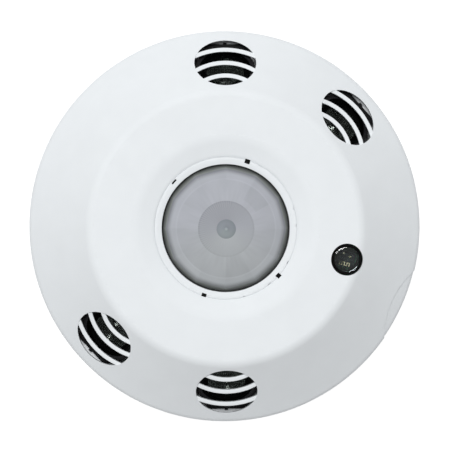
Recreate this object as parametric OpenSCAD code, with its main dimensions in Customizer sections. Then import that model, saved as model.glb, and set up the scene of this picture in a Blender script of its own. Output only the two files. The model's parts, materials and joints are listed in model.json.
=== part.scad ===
// Ceiling occupancy sensor: a domed heat lens in the middle of a round cover, four slotted sound
// openings on the sloping edge and a daylight sensor. It twists onto a plate fixed to the ceiling.
// The origin is the centre of the plate's ceiling side and +Z points into the room.

/* [Front cover] */
// Outer diameter of the cover
cover_d = 114.3; // [112:0.1:118]
// Height of the flat front face above the ceiling
face_h = 24.7; // [24.5:0.1:25.2]
// Gap between the rim of the cover and the ceiling
rim_gap = 0.8; // [0.5:0.1:1.2]
// Wall thickness of the cover
cover_wall = 1.8; // [1.6:0.1:2]
// Slope of the cone round the face, in degrees
cone_slope = 40; // [39:0.5:41]
// Radius at which the flat face ends
face_r = 37.7; // [37.3:0.1:38.1]
// Rounding between the flat face and the cone
shoulder_round = 4.1; // [3.6:0.1:4.6]
// Rounding between the cone and the rim
rim_round = 3; // [2.6:0.1:3.5]
// Radius at which the face starts to dip towards the lens
dish_r = 27.2; // [27:0.1:27.8]
// Rounding of the edge of the dish
dish_round = 11.5; // [9:0.5:13]
// Slope of the dish, in degrees
dish_slope = 14; // [12:0.5:15]

/* [Lens] */
// Top of the dome above the ceiling
dome_top = 31; // [30.7:0.1:32]
// Radius of curvature of the dome
dome_r = 25.7; // [25:0.1:27]
// Wall thickness of the lens
lens_wall = 0.8; // [0.6:0.1:1]
// Radius of the opening in the collar
collar_in_r = 18.4; // [18.3:0.1:18.6]
// Radius of the outside of the collar
collar_out_r = 20.4; // [20.2:0.1:20.6]
// Angles of the notches in the collar
notch_angles = [72, 138, 252, 318];

/* [Sound openings] */
// Angles of the sound openings round the cover
sound_angles = [42, 90, 222.5, 270.5];
// Distance of the sound openings from the centre
sound_r = 47.6; // [47.3:0.1:47.9]
// Width of a sound opening along the rim
sound_w = 17.9; // [17:0.1:18.2]
// Height of a sound opening in plan, from the face towards the rim
sound_h = 13.3; // [12.8:0.1:13.4]
// Distance from the centre to the point that the bars curve round
bar_centre = 30.7; // [30.4:0.1:31]
// Inner radius of each bar about that point
bar_in = [12.4, 16.2, 20.1];
// Width of a bar
bar_w = 1.35; // [1:0.05:1.8]
// Outer diameter of a transducer's can
can_d = 16; // [15.6:0.1:16.2]
// Length of a transducer, boot and all
can_h = 5.4; // [5:0.1:5.5]

/* [Daylight sensor] */
// Angle of the daylight sensor round the cover
light_angle = -14.5; // [-18:0.5:-12]
// Distance of the daylight sensor from the centre
light_r = 35.9; // [35.4:0.1:36.2]
// Diameter of its hole in the cover
light_hole_d = 9.2; // [9.2:0.1:9.6]
// Outer diameter of its tube
light_tube_d = 8.6; // [8.2:0.1:8.6]

/* [Pry mark] */
// Angle of the shallow scallop in the rim
scallop_angle = -24; // [-26:1:-22]
// Plan radius of the scallop
scallop_r = 22.9; // [18:0.1:26]
// How far the scallop reaches in from the rim
scallop_reach = 3.85; // [3:0.05:4.5]

/* [Mounting plate] */
// Radius of the plate
plate_r = 51; // [50:0.5:52]
// Thickness of the plate
plate_t = 3; // [2.9:0.1:3.1]
// Distance between the two screw slots of a four-inch ceiling box
screw_spacing = 88.9; // [88.9]
// Width of a screw slot
slot_w = 4.5; // [4.2:0.1:5]
// Length of a screw slot from end to end
slot_l = 8; // [7:0.5:8]
// Radius of the opening for the cable
cable_r = 22; // [21.5:0.5:23]
// Turn that frees the sensor from the plate, in degrees
twist = 15; // [12:1:16]

/* [Circuit board] */
// Height of the board's underside
board_z = 8; // [7.9:0.1:8.1]
// Thickness of the board
board_t = 1.6; // [1.4:0.1:1.6]
// Radius of the board
board_r = 50; // [49:0.5:50.5]

/* [Controls] */
// Distance of the adjusting knobs from the centre
knob_ring_r = 38; // [37:0.1:38.5]
// Angle of the first knob and step to the next
knob_angles = [115, 16];
// Diameter of a knob
knob_d = 7.8; // [7:0.1:8.2]
// Travel of a switch slider
slider_travel = 1.8; // [1.5:0.1:1.8]
// Sliders that are switched on
sliders_on = [1, 0, 1, 1, 0, 0];

/* [Hidden] */
$fn = 96;

// Cover outline
cover_r = cover_d / 2;
arc_steps = 6;
cone_top = [face_r + shoulder_round * sin(cone_slope), face_h - shoulder_round * (1 - cos(cone_slope))];
cone_foot_r = cover_r - rim_round * (1 - sin(cone_slope));
cone_foot = [cone_foot_r, cone_top[1] - (cone_foot_r - cone_top[0]) * tan(cone_slope)];
rim_top = cone_foot[1] - rim_round * cos(cone_slope);
socket_r = collar_out_r + 0.1;
socket_wall = 1.4;
ledge_r = 19;
ledge_z = 17.6;
ledge_t = 1.4;
nose_reach = 0.4;
nose_angles = [6, 126, 186, 306];
scallop_depth = 0.35;

// Lens seat
flange_t = 0.8;
flange_r = socket_r - 0.2;
seat_z = ledge_z + ledge_t;
dome_z = dome_top - dome_r;
collar_top = dish_z(socket_r) + 0.1;
brow_r = 17.2;
skirt_r = collar_in_r - 0.25;
skirt_top = dome_z + sqrt(pow(dome_r, 2) - pow(brow_r, 2)) - 1.5;
notch = [1.5, 1.3, 1.5];

// Rear housing
slide_gap = 0.3;
floor_z = plate_t + slide_gap;
floor_t = 1.5;
floor_top = floor_z + floor_t;
wall_t = 1.5;
housing_r = cover_r - cover_wall - nose_reach - slide_gap;
housing_top = rim_top - 0.3;
window = [30, 20];
window_y = -6;
boss_r = 3;
screw_places = [[46, 66], [46, 202], [46, 318]];
head_w = 9;
head_depth = 1.8;
hook_angles = [60, 180, 300];
hook_r = [33, 35, 37.5];
hook_half = 5;
toe_z = [0.4, 1.3];
// Room round a hook: along a radius, in degrees, and above its toe
hook_room = [0.4, 0.6, 1.3];

// Transducers
face_gap = 1;
can_r = can_d / 2;
can_wall = 0.5;
boot_r = can_r + 0.7;
boot_back = 0.6;
lip = [9.8, 12, 1.2];
key = [10.4, 1, 0.3];
surface_z = cone_z(sound_r);
rib_y = 5;
rib_t = 2;
rib_x = [37.2, 48.2];
notch_half = 9.6;
notch_x = 36.4;

// Board and what stands on it
board_top = board_z + board_t;
pir_r = 4.6;
pir_top = 13.8;
pir_pin_ring = 2.5;
pir_pin_angles = [60, 180, 300];
knob_r = knob_d / 2;
trimmer = [8.4, 8.4, 4];
shaft_r = 1.5;
shaft_fit = 0.05;
knob_z = board_top + trimmer[2] + slide_gap;
knob_h = 2.5;
switch_angle = 187;
switch_size = [7, 17, 3.8];
switch_pitch = 2.54;
nub = [1.8, 1, 2.8];
nub_fit = 0.1;
block_size = [26, 8, 7.3];
block_y = -10;
pole_pitch = 5.08;

function arc(c, r, from, to, n) =
    [for (i = [0 : n]) c + r * [cos(from + (to - from) * i / n), sin(from + (to - from) * i / n)]];
function backwards(list) = [for (i = [len(list) - 1 : -1 : 0]) list[i]];
function unit(v) = v / norm(v);
// Height of the outside of the cone at radius r
function cone_z(r) = cone_foot[1] + (cone_foot[0] - r) * tan(cone_slope);
// Height of the outside of the dish at radius r
function dish_z(r) =
    face_h - dish_round * (1 - cos(dish_slope))
    - (dish_r - dish_round * sin(dish_slope) - r) * tan(dish_slope);
// Cover outline, moved inwards by t: the dish from radius r, the shoulder and the rim
function dish_path(r, t) = concat(
    [[r, dish_z(r) - t / cos(dish_slope)]],
    arc([dish_r, face_h - dish_round], dish_round - t, 90 + dish_slope, 90, arc_steps)
);
function edge_path(t) = concat(
    arc([face_r, face_h - shoulder_round], shoulder_round - t, 90, 90 - cone_slope, arc_steps),
    arc([cover_r - rim_round, rim_top], rim_round - t, 90 - cone_slope, 0, arc_steps)
);

module polar(r, a) {
    rotate(a) translate([r, 0, 0]) children();
}

module ring(r_out, r_in, h) {
    difference() {
        cylinder(r = r_out, h = h);
        translate([0, 0, -1]) cylinder(r = r_in, h = h + 2);
    }
}

// Part of a ring between two angles
module sector(r_in, r_out, from, to, h) {
    rotate(from) rotate_extrude(angle = to - from) translate([r_in, 0]) square([r_out - r_in, h]);
}

// Straight slot with round ends, along X
module slot(w, l, h) {
    for (s = [-1, 1]) translate([s * (l - w) / 2, 0, 0]) cylinder(d = w, h = h);
    translate([-(l - w) / 2, -w / 2, 0]) cube([l - w, w, h]);
}

// Block centred in X and Y, with rounded upright edges
module block(size, r) {
    w = [size[0] - 2 * r, size[1] - 2 * r];
    translate([-w[0] / 2, -size[1] / 2, 0]) cube([w[0], size[1], size[2]]);
    translate([-size[0] / 2, -w[1] / 2, 0]) cube([size[0], w[1], size[2]]);
    for (x = [-1, 1], y = [-1, 1]) translate([x * w[0] / 2, y * w[1] / 2, 0]) cylinder(r = r, h = size[2]);
}

// Closed tube of radius r through points [x, z], mitred at each bend
module wire(path, r) {
    sides = 8;
    last = len(path) - 1;
    rings = [for (i = [0 : last], k = [0 : sides - 1]) let (
        ahead = unit(path[min(i + 1, last)] - path[min(i, last - 1)]),
        behind = unit(path[max(i, 1)] - path[max(i - 1, 0)]),
        way = unit(ahead + behind),
        p = path[i] + r * cos(360 * k / sides) * [-way[1], way[0]]
    ) [p[0], r * sin(360 * k / sides), p[1]]];
    walls = [for (i = [0 : last - 1], k = [0 : sides - 1]) let (next = (k + 1) % sides)
        [i * sides + k, i * sides + next, (i + 1) * sides + next, (i + 1) * sides + k]];
    ends = [[for (k = [sides - 1 : -1 : 0]) k], [for (k = [0 : sides - 1]) last * sides + k]];
    polyhedron(points = rings, faces = concat(walls, ends));
}

// ---- Ceiling plate ----

module screw_slots() {
    for (s = [-1, 1]) translate([s * screw_spacing / 2, 0, 0]) {
        translate([0, 0, -1]) slot(slot_w, slot_l, plate_t + 2);
        translate([0, 0, plate_t - head_depth]) slot(head_w, slot_l + head_w - slot_w, head_depth + 1);
    }
}

// Slots that the hooks of the housing drop into and turn under
module bayonet_slots() {
    room = hook_half + hook_room[1];
    inner = hook_r[0] - hook_room[0];
    neck = hook_r[1] + hook_room[0];
    outer = hook_r[2] + hook_room[0];
    roof = toe_z[1] + hook_room[2];
    for (a = hook_angles) {
        rotate(a - room) rotate_extrude(angle = twist + 2 * room) polygon([
            [inner, -1], [outer, -1], [outer, roof], [neck, roof], [neck, plate_t + 1], [inner, plate_t + 1]
        ]);
        translate([0, 0, roof - 1])
            sector(neck - 1, outer + 0.1, a + twist - room, a + twist + room + 0.1, plate_t);
    }
}

module mounting_plate() {
    color("whitesmoke") difference() {
        rotate_extrude() polygon([
            [cable_r, 0], [plate_r, 0], [plate_r, plate_t - 0.6], [plate_r - 0.6, plate_t],
            [cable_r, plate_t]
        ]);
        screw_slots();
        bayonet_slots();
    }
}

// ---- Rear housing ----

module hooks() {
    for (a = hook_angles) {
        translate([0, 0, toe_z[0]])
            sector(hook_r[0], hook_r[1], a - hook_half, a + hook_half, floor_z - toe_z[0] + 0.5);
        translate([0, 0, toe_z[0]])
            sector(hook_r[0], hook_r[2], a - hook_half, a + hook_half, toe_z[1] - toe_z[0]);
    }
}

// Height of the back of a transducer at radius r
function back_z(r) =
    surface_z - (face_gap + cover_wall + can_h) / cos(cone_slope) - (r - sound_r) * tan(cone_slope);

// Two ribs that carry each transducer
module cradle_ribs() {
    for (a = sound_angles, s = [-1, 1]) rotate(a) translate([0, s * rib_y + rib_t / 2, 0])
        rotate([90, 0, 0]) linear_extrude(rib_t) polygon([
            [rib_x[0], floor_top - 0.5], [rib_x[1], floor_top - 0.5],
            [rib_x[1], back_z(rib_x[1])], [rib_x[0], back_z(rib_x[0])]
        ]);
}

module rear_housing() {
    color("gainsboro") difference() {
        union() {
            rotate_extrude() polygon([
                [0, floor_z], [housing_r - wall_t, floor_z], [housing_r - wall_t, rim_gap + 0.2],
                [housing_r, rim_gap + 0.2], [housing_r, housing_top], [housing_r - wall_t, housing_top],
                [housing_r - wall_t, floor_top], [0, floor_top]
            ]);
            for (p = screw_places) polar(p[0], p[1]) translate([0, 0, floor_top - 0.5])
                cylinder(r = boss_r, h = board_z - floor_top + 0.5);
            cradle_ribs();
            hooks();
        }
        translate([0, window_y, floor_z - 1]) block([window[0], window[1], floor_t + 2], 2);
        for (p = screw_places) polar(p[0], p[1]) translate([0, 0, floor_top])
            cylinder(r = 1.2, h = board_z);
    }
}

// ---- Front cover ----

module cover_shell() {
    rotate_extrude() polygon(concat(
        dish_path(socket_r, 0), edge_path(0), [[cover_r, rim_gap], [cover_r - cover_wall, rim_gap]],
        backwards(edge_path(cover_wall)), backwards(dish_path(socket_r + socket_wall, cover_wall)),
        [
            [socket_r + socket_wall, ledge_z], [ledge_r, ledge_z], [ledge_r, seat_z], [socket_r, seat_z]
        ]
    ));
}

// Snap noses inside the rim
module snap_noses() {
    r = cover_r - cover_wall;
    for (a = nose_angles) rotate(a - 3) rotate_extrude(angle = 6)
        polygon([[r + 0.4, 1.6], [r - nose_reach, 2.2], [r - nose_reach, 2.8], [r + 0.4, 3.8]]);
}

// Openings between the curved bars: an upright oval, less the bars
module sound_slots() {
    gaps = [[0, bar_in[0]], [bar_in[0] + bar_w, bar_in[1]], [bar_in[1] + bar_w, bar_in[2]],
            [bar_in[2] + bar_w, 30]];
    for (a = sound_angles) rotate(a) intersection() {
        linear_extrude(face_h + 4) polygon([for (t = [0 : 7.5 : 352.5])
            [sound_r + sound_h / 2 * cos(t), sound_w / 2 * sin(t)]]);
        translate([bar_centre, 0, rim_gap]) for (g = gaps)
            if (g[0] == 0) cylinder(r = g[1], h = face_h + 5);
            else ring(g[1], g[0], face_h + 5);
    }
}

// Shallow step at the rim, where a blade lifts the cover
module pry_scallop() {
    intersection() {
        polar(cover_r - scallop_reach + scallop_r, scallop_angle) cylinder(r = scallop_r, h = face_h);
        rotate(scallop_angle - 20) rotate_extrude(angle = 40) polygon(concat(
            edge_path(scallop_depth),
            [[cover_r - scallop_depth, -1], [cover_r + 5, -1]],
            [[cover_r + 5, face_h + 5], [face_r, face_h + 5]]
        ));
    }
}

module front_cover() {
    color("white") difference() {
        union() {
            cover_shell();
            snap_noses();
        }
        sound_slots();
        at_light() translate([0, 0, floor_top]) cylinder(d = light_hole_d, h = face_h);
        pry_scallop();
    }
}

module lens_collar() {
    color("white") difference() {
        translate([0, 0, seat_z + flange_t])
            ring(collar_out_r, collar_in_r, collar_top - seat_z - flange_t);
        for (a = notch_angles) polar(collar_out_r - notch[1], a)
            translate([0, -notch[0] / 2, collar_top - notch[2]])
                cube([notch[1] + 1, notch[0], notch[2] + 1]);
    }
}

// Dome that falls steeply from its brow to a skirt inside the collar
module fresnel_lens() {
    inner_r = dome_r - lens_wall;
    bore_r = skirt_r - lens_wall;
    color("silver") rotate_extrude() polygon(concat(
        [[bore_r, seat_z], [flange_r, seat_z], [flange_r, seat_z + flange_t], [skirt_r, seat_z + flange_t]],
        [[skirt_r, skirt_top]],
        arc([0, dome_z], dome_r, acos(brow_r / dome_r), 90, 14),
        arc([0, dome_z], inner_r, 90, acos((brow_r - 0.55) / inner_r), 14),
        [[bore_r, skirt_top - 0.4]]
    ));
}

// ---- Circuit board ----

module circuit_board() {
    color("seagreen") difference() {
        translate([0, 0, board_z]) cylinder(r = board_r, h = board_t);
        for (a = sound_angles) rotate(a) translate([notch_x, -notch_half, board_z - 1])
            cube([30, 2 * notch_half, board_t + 2]);
        for (p = screw_places) polar(p[0], p[1]) translate([0, 0, board_z - 1])
            cylinder(r = 1.6, h = board_t + 2);
        for (a = pir_pin_angles) polar(pir_pin_ring, a) translate([0, 0, board_z - 1])
            cylinder(r = 0.35, h = board_t + 2);
    }
}

module board_screws() {
    color("silver") for (p = screw_places) polar(p[0], p[1]) difference() {
        union() {
            translate([0, 0, floor_top + 0.3]) cylinder(r = 1.2, h = board_top - floor_top - 0.2);
            translate([0, 0, board_top]) cylinder(r = 2.6, h = 1.7);
        }
        for (t = [0, 90]) rotate(t) translate([-1.5, -0.3, board_top + 0.8]) cube([3, 0.6, 2]);
    }
}

// ---- Heat sensor ----

module pir_header() {
    color("silver") {
        translate([0, 0, board_top]) cylinder(r = pir_r, h = 0.6);
        for (a = pir_pin_angles) polar(pir_pin_ring, a) translate([0, 0, board_z - 1.2])
            cylinder(r = 0.22, h = board_t + 1.4, $fn = 24);
    }
}

module pir_element() {
    color("dimgray") translate([0, 0, board_top + 0.6]) block([4.4, 2.4, 1.2], 0.3);
}

module pir_can() {
    inner_r = pir_r - 0.7;
    color("silver") difference() {
        translate([0, 0, board_top + 0.6]) cylinder(r = pir_r - 0.4, h = pir_top - board_top - 0.6);
        translate([0, 0, board_top]) cylinder(r = inner_r, h = pir_top - board_top - 0.3);
        translate([-2.1, -1.6, pir_top - 2]) cube([4.2, 3.2, 4]);
    }
}

module pir_window() {
    color("darkslategray") translate([-2.6, -2.1, pir_top - 0.7]) cube([5.2, 4.2, 0.4]);
}

// ---- Sound transducers ----

// Moves to the front of transducer i, with +Z out of the cover
module at_transducer(i) {
    rotate(sound_angles[i]) translate([sound_r, 0, surface_z]) rotate([0, cone_slope, 0])
        translate([0, 0, -cover_wall - face_gap]) children();
}

// Rubber sleeve with a straight lip and a small key towards the rim
module transducer_boot(i) {
    color("black") at_transducer(i) difference() {
        union() {
            translate([0, 0, -can_h]) cylinder(r = boot_r, h = can_h);
            for (p = [lip, key]) translate([can_r - 2, -p[1] / 2, -p[2]])
                cube([p[0] - can_r + 2, p[1], p[2]]);
        }
        translate([0, 0, -can_h + boot_back]) cylinder(r = can_r, h = can_h);
        translate([0, 0, -can_h - 1]) cylinder(r = 5, h = can_h);
    }
}

module transducer_can(i) {
    h = can_h - boot_back;
    color("dimgray") at_transducer(i) difference() {
        union() {
            translate([0, 0, -h]) cylinder(r = can_r, h = h);
            for (s = [-1, 1]) translate([0, s * 2, -h - 1.9]) cylinder(r = 0.4, h = 2, $fn = 24);
        }
        translate([0, 0, -h + 1]) cylinder(r = can_r - can_wall, h = h);
    }
}

module transducer_cone(i) {
    base = -can_h + boot_back + 1;
    color("lightgray") at_transducer(i) rotate_extrude() polygon([
        [0, base], [1.6, base], [1.6, base + 0.9], [5.4, base + 2.3], [5.4, base + 2.6], [1.2, base + 1.3],
        [0, base + 1.3]
    ]);
}

module transducer_screen(i) {
    z = -0.9;
    r = can_r - can_wall;
    color("dimgray") at_transducer(i) {
        translate([0, 0, z]) ring(r, r - 0.7, 0.4);
        for (t = [0, 90]) rotate(t) translate([-r + 0.3, -0.2, z]) cube([2 * r - 0.6, 0.4, 0.4]);
    }
}

// Two wires from the pins of each transducer to the board
module transducer_leads() {
    tip = [sound_r, surface_z] - (cover_wall + face_gap + can_h + 1.3) * [sin(cone_slope), cos(cone_slope)];
    color("crimson") for (a = sound_angles, s = [-1, 1]) rotate(a) translate([0, 2 * s, 0])
        wire([tip, tip + [-0.6, -0.5], [38.5, 11.3], [34.6, 12], [33.6, 11], [33.6, board_top]], 0.45);
}

// ---- Daylight sensor ----

module at_light() {
    polar(light_r, light_angle) children();
}

module light_tube() {
    color("black") at_light() translate([0, 0, board_top])
        ring(light_tube_d / 2, light_tube_d / 2 - 0.6, light_top() - board_top);
}

// The tube ends a little below the face, level with the start of the shoulder
function light_top() = face_h - 1.2;

module light_window() {
    color("dimgray") at_light() translate([0, 0, light_top() - 1.6])
        cylinder(d = light_tube_d - 1.2, h = 1);
}

module light_cell() {
    z = light_top() - 5;
    color("peru") at_light() {
        translate([0, 0, z]) block([5, 4.2, 2], 0.8);
        for (s = [-1, 1]) translate([0, s * 1.3, board_top])
            cylinder(r = 0.25, h = z - board_top + 0.2, $fn = 24);
    }
}

// ---- Lamps ----

module lamp(x, y) {
    translate([x, y, board_top]) {
        cylinder(r = 1.9, h = 1);
        cylinder(r = 1.5, h = 3.4);
        translate([0, 0, 3.4]) sphere(r = 1.5);
    }
}

module red_led() {
    color("red") lamp(-8.5, -7.5);
}

module green_led() {
    color("green") lamp(8.5, -7.5);
}

// ---- Adjusting knobs ----

module at_knob(i) {
    polar(knob_ring_r, knob_angles[0] + i * knob_angles[1]) children();
}

module trimmer_bodies() {
    color("midnightblue") for (i = [0 : 3]) at_knob(i) translate([0, 0, board_top]) difference() {
        block(trimmer, 0.6);
        translate([0, 0, 0.6]) cylinder(r = shaft_r + shaft_fit, h = trimmer[2]);
    }
}

// Knob with a driver slot and a pointer on its top
module knob(i) {
    at_knob(i) difference() {
        union() {
            translate([0, 0, board_top + 1]) cylinder(r = shaft_r, h = knob_z - board_top - 0.5);
            translate([0, 0, knob_z]) cylinder(r = knob_r, h = knob_h);
        }
        translate([-knob_r + 1, -0.45, knob_z + knob_h - 1.2]) cube([knob_d - 2, 0.9, 2]);
        translate([knob_r - 1.2, 0, knob_z + knob_h - 0.6]) cylinder(r = 0.8, h = 2, $fn = 24);
    }
}

module time_knob() {
    color("dimgray") knob(0);
}

module infrared_knob() {
    color("firebrick") knob(1);
}

module ultrasonic_knob() {
    color("forestgreen") knob(2);
}

module daylight_knob() {
    color("royalblue") knob(3);
}

// ---- Switches ----

module at_switch() {
    polar(knob_ring_r, switch_angle) translate([0, 0, board_top]) children();
}

function slider_y(i) = (i - 2.5) * switch_pitch;

module switch_body() {
    well = [slider_travel + nub[0] + 2 * nub_fit, nub[1] + 2 * nub_fit];
    color("firebrick") at_switch() difference() {
        block(switch_size, 0.4);
        for (i = [0 : 5]) translate([-well[0] / 2, slider_y(i) - well[1] / 2, 1.8])
            cube([well[0], well[1], 4]);
    }
}

// Slider of switch i, at the outer end of its well when it is on
module slider(i) {
    x = (sliders_on[i] - 0.5) * slider_travel;
    color("white") at_switch() translate([x - nub[0] / 2, slider_y(i) - nub[1] / 2, 1.9]) cube(nub);
}

// ---- Terminals, on the underside of the board ----

function pole_x(i) = (i - 2) * pole_pitch;

module terminal_block() {
    color("forestgreen") translate([0, block_y, board_z - block_size[2]]) difference() {
        block(block_size, 0.5);
        for (i = [0 : 4]) translate([pole_x(i), 0, -1]) cylinder(r = 1.9, h = 3.2);
        for (i = [0 : 4]) translate([pole_x(i) - 1.9, -block_size[1] / 2 - 1, 2.2]) cube([3.8, 7, 3.8]);
    }
}

module terminal_screws() {
    z = board_z - block_size[2];
    color("silver") for (i = [0 : 4]) translate([pole_x(i), block_y, z + 0.4]) difference() {
        cylinder(r = 1.7, h = 2.2);
        translate([-2, -0.3, -1]) cube([4, 0.6, 1.7]);
    }
}

module terminal_cages() {
    z = board_z - block_size[2] + 2.6;
    color("goldenrod") for (i = [0 : 4]) translate([pole_x(i), block_y - 1.2, z]) difference() {
        translate([-1.7, -2, 0]) cube([3.4, 4, 3.2]);
        translate([-1.2, -3, 0.6]) cube([2.4, 6, 2]);
    }
}

// ---- Parts soldered to the board ----

module relay() {
    color("black") polar(29, 66) translate([0, 0, board_top]) block([7.4, 15.2, 9.4], 0.8);
}

module capacitors() {
    color("steelblue") for (p = [[29, 205, 4, 10], [29, 228, 4, 10], [28.5, 250, 3.1, 8]])
        polar(p[0], p[1]) translate([0, 0, board_top]) {
            cylinder(r = p[2] + 0.15, h = 0.8);
            cylinder(r = p[2], h = p[3]);
        }
}

module inductor() {
    color("saddlebrown") polar(28.5, 20) translate([0, 0, board_top]) {
        cylinder(r = 4.2, h = 1);
        cylinder(r = 3.4, h = 6);
        translate([0, 0, 5]) cylinder(r = 4.2, h = 1);
    }
}

// Flat chip with n legs along each of two sides
module chip_legs(size, n, pitch) {
    for (i = [0 : n - 1], s = [-1, 1])
        translate([s * (size[0] / 2 + 0.4) - 0.5, (i - (n - 1) / 2) * pitch - 0.15, 0]) cube([1, 0.3, 0.5]);
}

module microcontroller() {
    size = [9, 9, 1.5];
    color("black") polar(39.5, 308) translate([0, 0, board_top]) {
        block(size, 0.3);
        chip_legs(size, 8, 1);
        rotate(90) chip_legs(size, 8, 1);
    }
}

module amplifier_chips() {
    size = [4, 8.6, 1.5];
    color("black") for (p = [[43, 8], [27.5, 336]]) polar(p[0], p[1]) translate([0, 0, board_top]) {
        block(size, 0.3);
        chip_legs(size, 7, 1.2);
    }
}

module crystal() {
    color("silver") polar(29, 306) translate([0, 0, board_top]) rotate(90) slot(4.6, 11, 3.4);
}

module chip_resistors() {
    color("tan") {
        for (i = [0 : 9]) polar(23.5, 262 + 9 * i) translate([-0.6, -1, board_top]) cube([1.2, 2, 0.6]);
        for (i = [0 : 7]) polar(46, 112 + 9 * i) translate([-0.6, -1, board_top]) cube([1.2, 2, 0.6]);
        for (i = [0 : 4]) polar(30, 100 + 12 * i) translate([-1, -0.6, board_top]) cube([2, 1.2, 0.6]);
    }
}

mounting_plate();
rear_housing();
front_cover();
lens_collar();
fresnel_lens();
circuit_board();
board_screws();
pir_header();
pir_element();
pir_can();
pir_window();
transducer_boot(1);  // transmitter_boot_1
transducer_can(1);  // transmitter_can_1
transducer_cone(1);  // transmitter_cone_1
transducer_screen(1);  // transmitter_screen_1
transducer_boot(0);  // receiver_boot_1
transducer_can(0);  // receiver_can_1
transducer_cone(0);  // receiver_cone_1
transducer_screen(0);  // receiver_screen_1
transducer_boot(3);  // transmitter_boot_2
transducer_can(3);  // transmitter_can_2
transducer_cone(3);  // transmitter_cone_2
transducer_screen(3);  // transmitter_screen_2
transducer_boot(2);  // receiver_boot_2
transducer_can(2);  // receiver_can_2
transducer_cone(2);  // receiver_cone_2
transducer_screen(2);  // receiver_screen_2
transducer_leads();
light_tube();
light_window();
light_cell();
red_led();
green_led();
trimmer_bodies();
time_knob();
infrared_knob();
ultrasonic_knob();
daylight_knob();
switch_body();
slider(0);  // switch_slider_1
slider(1);  // switch_slider_2
slider(2);  // switch_slider_3
slider(3);  // switch_slider_4
slider(4);  // switch_slider_5
slider(5);  // switch_slider_6
terminal_block();
terminal_screws();
terminal_cages();
relay();
capacitors();
inductor();
microcontroller();
amplifier_chips();
crystal();
chip_resistors();
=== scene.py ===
"""Ceiling motion sensor, lying on its back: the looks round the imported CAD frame.

Sizes are in millimetres in the sensor's own frame, +Z out of the face; MM turns them into metres.
Directions round the sensor are in degrees, counter-clockwise from +X as seen from the front.
"""

import json
import math

import bmesh
import bpy
from mathutils import Matrix, Vector


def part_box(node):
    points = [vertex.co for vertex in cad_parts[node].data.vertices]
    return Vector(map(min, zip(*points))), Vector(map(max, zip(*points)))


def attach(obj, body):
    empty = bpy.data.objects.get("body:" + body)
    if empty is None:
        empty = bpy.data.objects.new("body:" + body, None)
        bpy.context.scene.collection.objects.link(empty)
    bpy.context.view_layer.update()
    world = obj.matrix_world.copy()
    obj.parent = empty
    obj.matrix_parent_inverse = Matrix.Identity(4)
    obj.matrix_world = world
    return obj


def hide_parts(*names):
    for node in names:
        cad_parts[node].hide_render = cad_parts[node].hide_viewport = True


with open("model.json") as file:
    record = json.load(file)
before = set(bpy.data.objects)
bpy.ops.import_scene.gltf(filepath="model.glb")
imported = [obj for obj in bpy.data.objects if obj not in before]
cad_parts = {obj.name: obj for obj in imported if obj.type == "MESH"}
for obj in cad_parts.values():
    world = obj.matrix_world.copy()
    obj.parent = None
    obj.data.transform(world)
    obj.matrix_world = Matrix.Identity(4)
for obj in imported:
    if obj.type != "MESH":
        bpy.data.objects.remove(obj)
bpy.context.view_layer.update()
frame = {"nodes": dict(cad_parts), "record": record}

MM = 0.001


# ---- Sizes, taken from the frame where it has them ----

def node_box(node):
    """Lowest and highest corner of a CAD node, in millimetres."""
    low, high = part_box(node)
    return low / MM, high / MM


# The cover's outline: rim, cone, shoulder, flat face, and the dish round the lens
cover_low, cover_high = node_box("front_cover")
COVER_R = min(cover_high.y, -cover_low.y, -cover_low.x)
FACE_Z = cover_high.z
RIM_Z = cover_low.z
COLLAR_R = node_box("lens_collar")[1].x
CONE = math.radians(40)
FACE_R = 37.7
SHOULDER = 4.1
RIM_ROUND = 3.0
DISH_R = 27.2
DISH_ROUND = 11.5
DISH = math.radians(14)
WALL = 1.8
ROUND_STEPS = 288
# The socket that holds the lens and its collar
SOCKET_R = 20.5
SOCKET_WALL = 1.4
LEDGE_R = 19.0
LEDGE_Z = 17.6
SEAT_Z = 19.0

# Sound openings: directions, distance out and half axes, and the three curved bars in each
SOUND = {"receiver_{}_1": 42, "transmitter_{}_1": 90, "receiver_{}_2": 222.5, "transmitter_{}_2": 270.5}
SOUND_R = 47.6
SOUND_OVAL = (6.65, 8.95)
BAR_CENTRE = 30.7
BAR_IN = (12.5, 16.27, 20.17)
BAR_W = 1.2
BAR_DEEP = 1.7
BAR_SLOPE = math.radians(16)
BAR_STEPS = 48
BAR_ROUND = 0.12
BAR_SUNK = 0.03
BAR_ROOT = 1.2
# Transducers behind the openings, each in its own axes from the top of its can
FACE_GAP = 1.0
CAN_H = 5.4
SCREEN_R = 7.5
SCREEN_Z = -0.9
WIRE_PITCH = 0.62
WIRE_W = 0.11
WIRE_WAVE = 0.06

# Daylight sensor: distance out and direction, and sizes
LIGHT_AT = (35.9, -14.5)
LIGHT_HOLE_R = 4.6
LIGHT_TUBE_R = 4.3
LIGHT_TUBE_WALL = 0.6
# Scallop for prying the cover off, and the noses that hold it on
SCALLOP_AT = -24
SCALLOP_R = 22.9
SCALLOP_REACH = 3.85
SCALLOP_DEEP = 0.25
NOSES_AT = (6, 126, 186, 306)
NOSE_REACH = 0.4
# Latch windows in the collar: direction, width along the ring, inner and outer radius
NOTCHES = (
    (72, 1.5, 19.45, 20.75),
    (138, 1.65, 19.65, 20.15),
    (252, 1.4, 19.65, 20.65),
    (318, 1.3, 19.75, 21.0),
)
# Small gaps in the seam round the collar: direction and length
NICKS = ((60.5, 0.8), (16, 0.7), (2, 0.6), (-29, 0.9), (-52, 0.8), (-75, 0.7))
KEY_BEARING = math.radians(112)

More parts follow.
